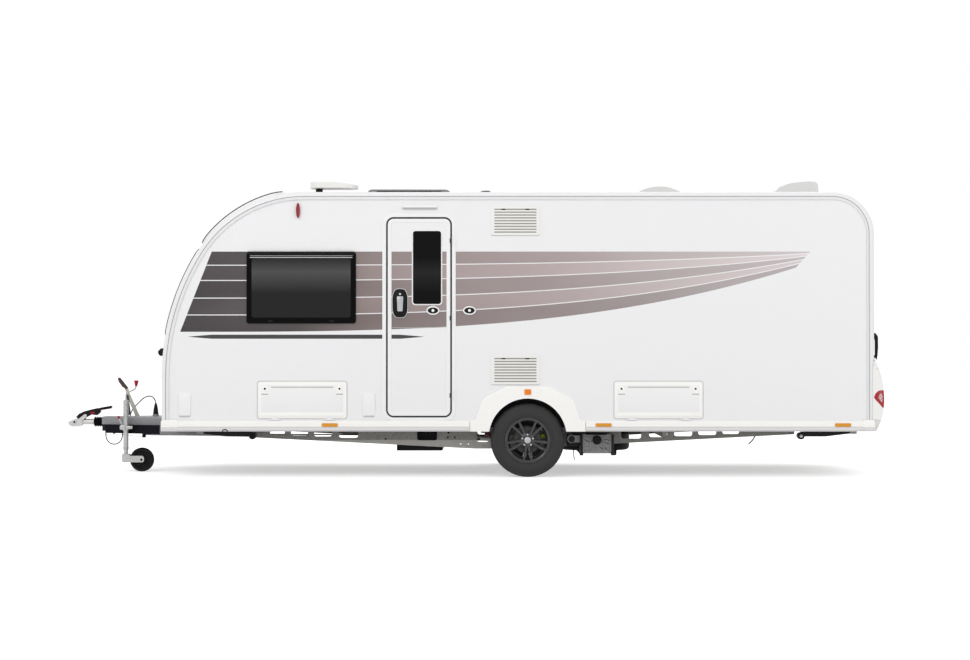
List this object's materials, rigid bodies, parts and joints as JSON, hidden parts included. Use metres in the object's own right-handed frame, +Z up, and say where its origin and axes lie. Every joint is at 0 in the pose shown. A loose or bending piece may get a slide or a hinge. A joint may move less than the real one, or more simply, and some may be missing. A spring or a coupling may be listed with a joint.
{
  "type": "touring caravan",
  "caption": "Single-axle touring caravan with a curved front, hinged entrance door and lockers, ball coupling, jockey wheel, corner steadies and underslung spare wheel.",
  "frame": {"origin": "on the ground, at the middle of the overall length and width", "axes": "+X to the rear with the coupling at -X, the entrance door on the -Y side, +Z up"},
  "size_m": [7.4, 2.29, 2.637],
  "materials": {
    "shell_white": "gloss",
    "floor_board": "matte",
    "inner_board": "satin",
    "white_plastic": "satin",
    "black_plastic": "satin",
    "grey_plastic": "satin",
    "rail_aluminium": "satin",
    "tinted_acrylic": "gloss",
    "lamp_red": "gloss",
    "lamp_amber": "gloss",
    "galvanised": "matte",
    "black_steel": "satin",
    "zinc_steel": "satin",
    "cast_grey": "matte",
    "alloy_dark": "satin",
    "drum_iron": "matte",
    "tyre": "matte",
    "rubber_black": "matte",
    "lead_black": "satin",
    "wire_steel": "satin"
  },
  "bodies": {
    "caravan": {"side_wall_near": "shell_white", "side_wall_off": "shell_white", "front_panel": "shell_white", "roof_panel": "shell_white", "rear_panel": "shell_white", "floor_panel": "floor_board", "wheel_housings": "black_plastic", "front_bulkhead": "inner_board", "side_windows": "tinted_acrylic", "front_windows": "tinted_acrylic", "edge_rails": "rail_aluminium", "skirts": "white_plastic", "arch_mouldings": "white_plastic", "rear_bumper": "white_plastic", "tail_lamps": "lamp_red", "marker_lamps": "lamp_amber", "wall_vents_and_flaps": "white_plastic", "tinted_rooflight": "tinted_acrylic", "roof_aerial": "white_plastic", "roof_vents": "white_plastic", "grab_handles": "black_plastic", "chassis_rails": "galvanised", "cross_members": "galvanised", "drawbar_beams": "black_steel", "axle_beam": "galvanised", "overrun_gear": "black_steel", "coupling_head": "zinc_steel", "coupling_handle": "black_plastic", "overrun_bellows": "rubber_black", "drawbar_cover": "grey_plastic", "hand_brake": "zinc_steel", "jockey_tube": "zinc_steel", "jockey_crank": "zinc_steel", "steady_brackets": "galvanised", "wheel_movers": "cast_grey", "spare_wheel": "rubber_black", "water_tank": "black_plastic", "lead_plug": "black_plastic", "plug_lead": "lead_black", "lead_loop": "lead_black", "breakaway_wire": "wire_steel"},
    "entrance_door": {"door_leaf": "shell_white", "door_window": "tinted_acrylic", "door_handle": "black_plastic"},
    "front_locker_door": {"locker_front_near": "white_plastic"},
    "rear_locker_door": {"locker_rear_near": "white_plastic"},
    "cassette_door": {"cassette_door_off": "white_plastic"},
    "gas_lid": {"gas_locker_lid": "white_plastic"},
    "wheel_near": {"tyre_near": "tyre", "rim_near": "alloy_dark", "drum_near": "drum_iron"},
    "wheel_off": {"tyre_off": "tyre", "rim_off": "alloy_dark", "drum_off": "drum_iron"},
    "jockey_swivel": {"jockey_stem": "zinc_steel"},
    "jockey_roller": {"jockey_wheel": "rubber_black"},
    "steady_leg_front_near": {"steady_front_near": "black_steel"},
    "steady_leg_front_off": {"steady_front_off": "black_steel"},
    "steady_leg_rear_near": {"steady_rear_near": "black_steel"},
    "steady_leg_rear_off": {"steady_rear_off": "black_steel"}
  },
  "joints": [
    {"name": "wheel_near_spin", "type": "hinge", "parent": "caravan", "child": "wheel_near", "pos_m": [0.567, -1, 0.325], "axis": [0, 1, 0], "continuous": true},
    {"name": "wheel_off_spin", "type": "hinge", "parent": "caravan", "child": "wheel_off", "pos_m": [0.567, 1, 0.325], "axis": [0, 1, 0], "continuous": true},
    {"name": "door_hinge", "type": "hinge", "parent": "caravan", "child": "entrance_door", "pos_m": [-0.095, -1.128, 1.4], "axis": [0, 0, 1], "range_deg": [0, 170]},
    {"name": "front_locker_hinge", "type": "hinge", "parent": "caravan", "child": "front_locker_door", "pos_m": [-1.4125, -1.128, 0.508], "axis": [1, 0, 0], "range_deg": [0, 120]},
    {"name": "rear_locker_hinge", "type": "hinge", "parent": "caravan", "child": "rear_locker_door", "pos_m": [1.715, -1.128, 0.508], "axis": [1, 0, 0], "range_deg": [0, 120]},
    {"name": "cassette_hinge", "type": "hinge", "parent": "caravan", "child": "cassette_door", "pos_m": [2.76, 1.128, 0.508], "axis": [-1, 0, 0], "range_deg": [0, 120]},
    {"name": "gas_lid_hinge", "type": "hinge", "parent": "caravan", "child": "gas_lid", "pos_m": [-2.6511, 0, 1.093], "axis": [0, 1, 0], "range_deg": [0, 75]},
    {"name": "jockey_swivel_turn", "type": "hinge", "parent": "caravan", "child": "jockey_swivel", "pos_m": [-3.121, -0.246, 0.4], "axis": [0, 0, 1], "continuous": true},
    {"name": "jockey_wheel_spin", "type": "hinge", "parent": "jockey_swivel", "child": "jockey_roller", "pos_m": [-2.971, -0.246, 0.11], "axis": [0, 1, 0], "continuous": true},
    {"name": "steady_front_near_fold", "type": "hinge", "parent": "caravan", "child": "steady_leg_front_near", "pos_m": [-2.33, -0.88, 0.392], "axis": [0, 1, 0], "range_deg": [0, 46]},
    {"name": "steady_front_off_fold", "type": "hinge", "parent": "caravan", "child": "steady_leg_front_off", "pos_m": [-2.33, 0.88, 0.392], "axis": [0, 1, 0], "range_deg": [0, 46]},
    {"name": "steady_rear_near_fold", "type": "hinge", "parent": "caravan", "child": "steady_leg_rear_near", "pos_m": [3.455, -0.88, 0.392], "axis": [0, -1, 0], "range_deg": [0, 46]},
    {"name": "steady_rear_off_fold", "type": "hinge", "parent": "caravan", "child": "steady_leg_rear_off", "pos_m": [3.455, 0.88, 0.392], "axis": [0, -1, 0], "range_deg": [0, 46]}
  ]
}
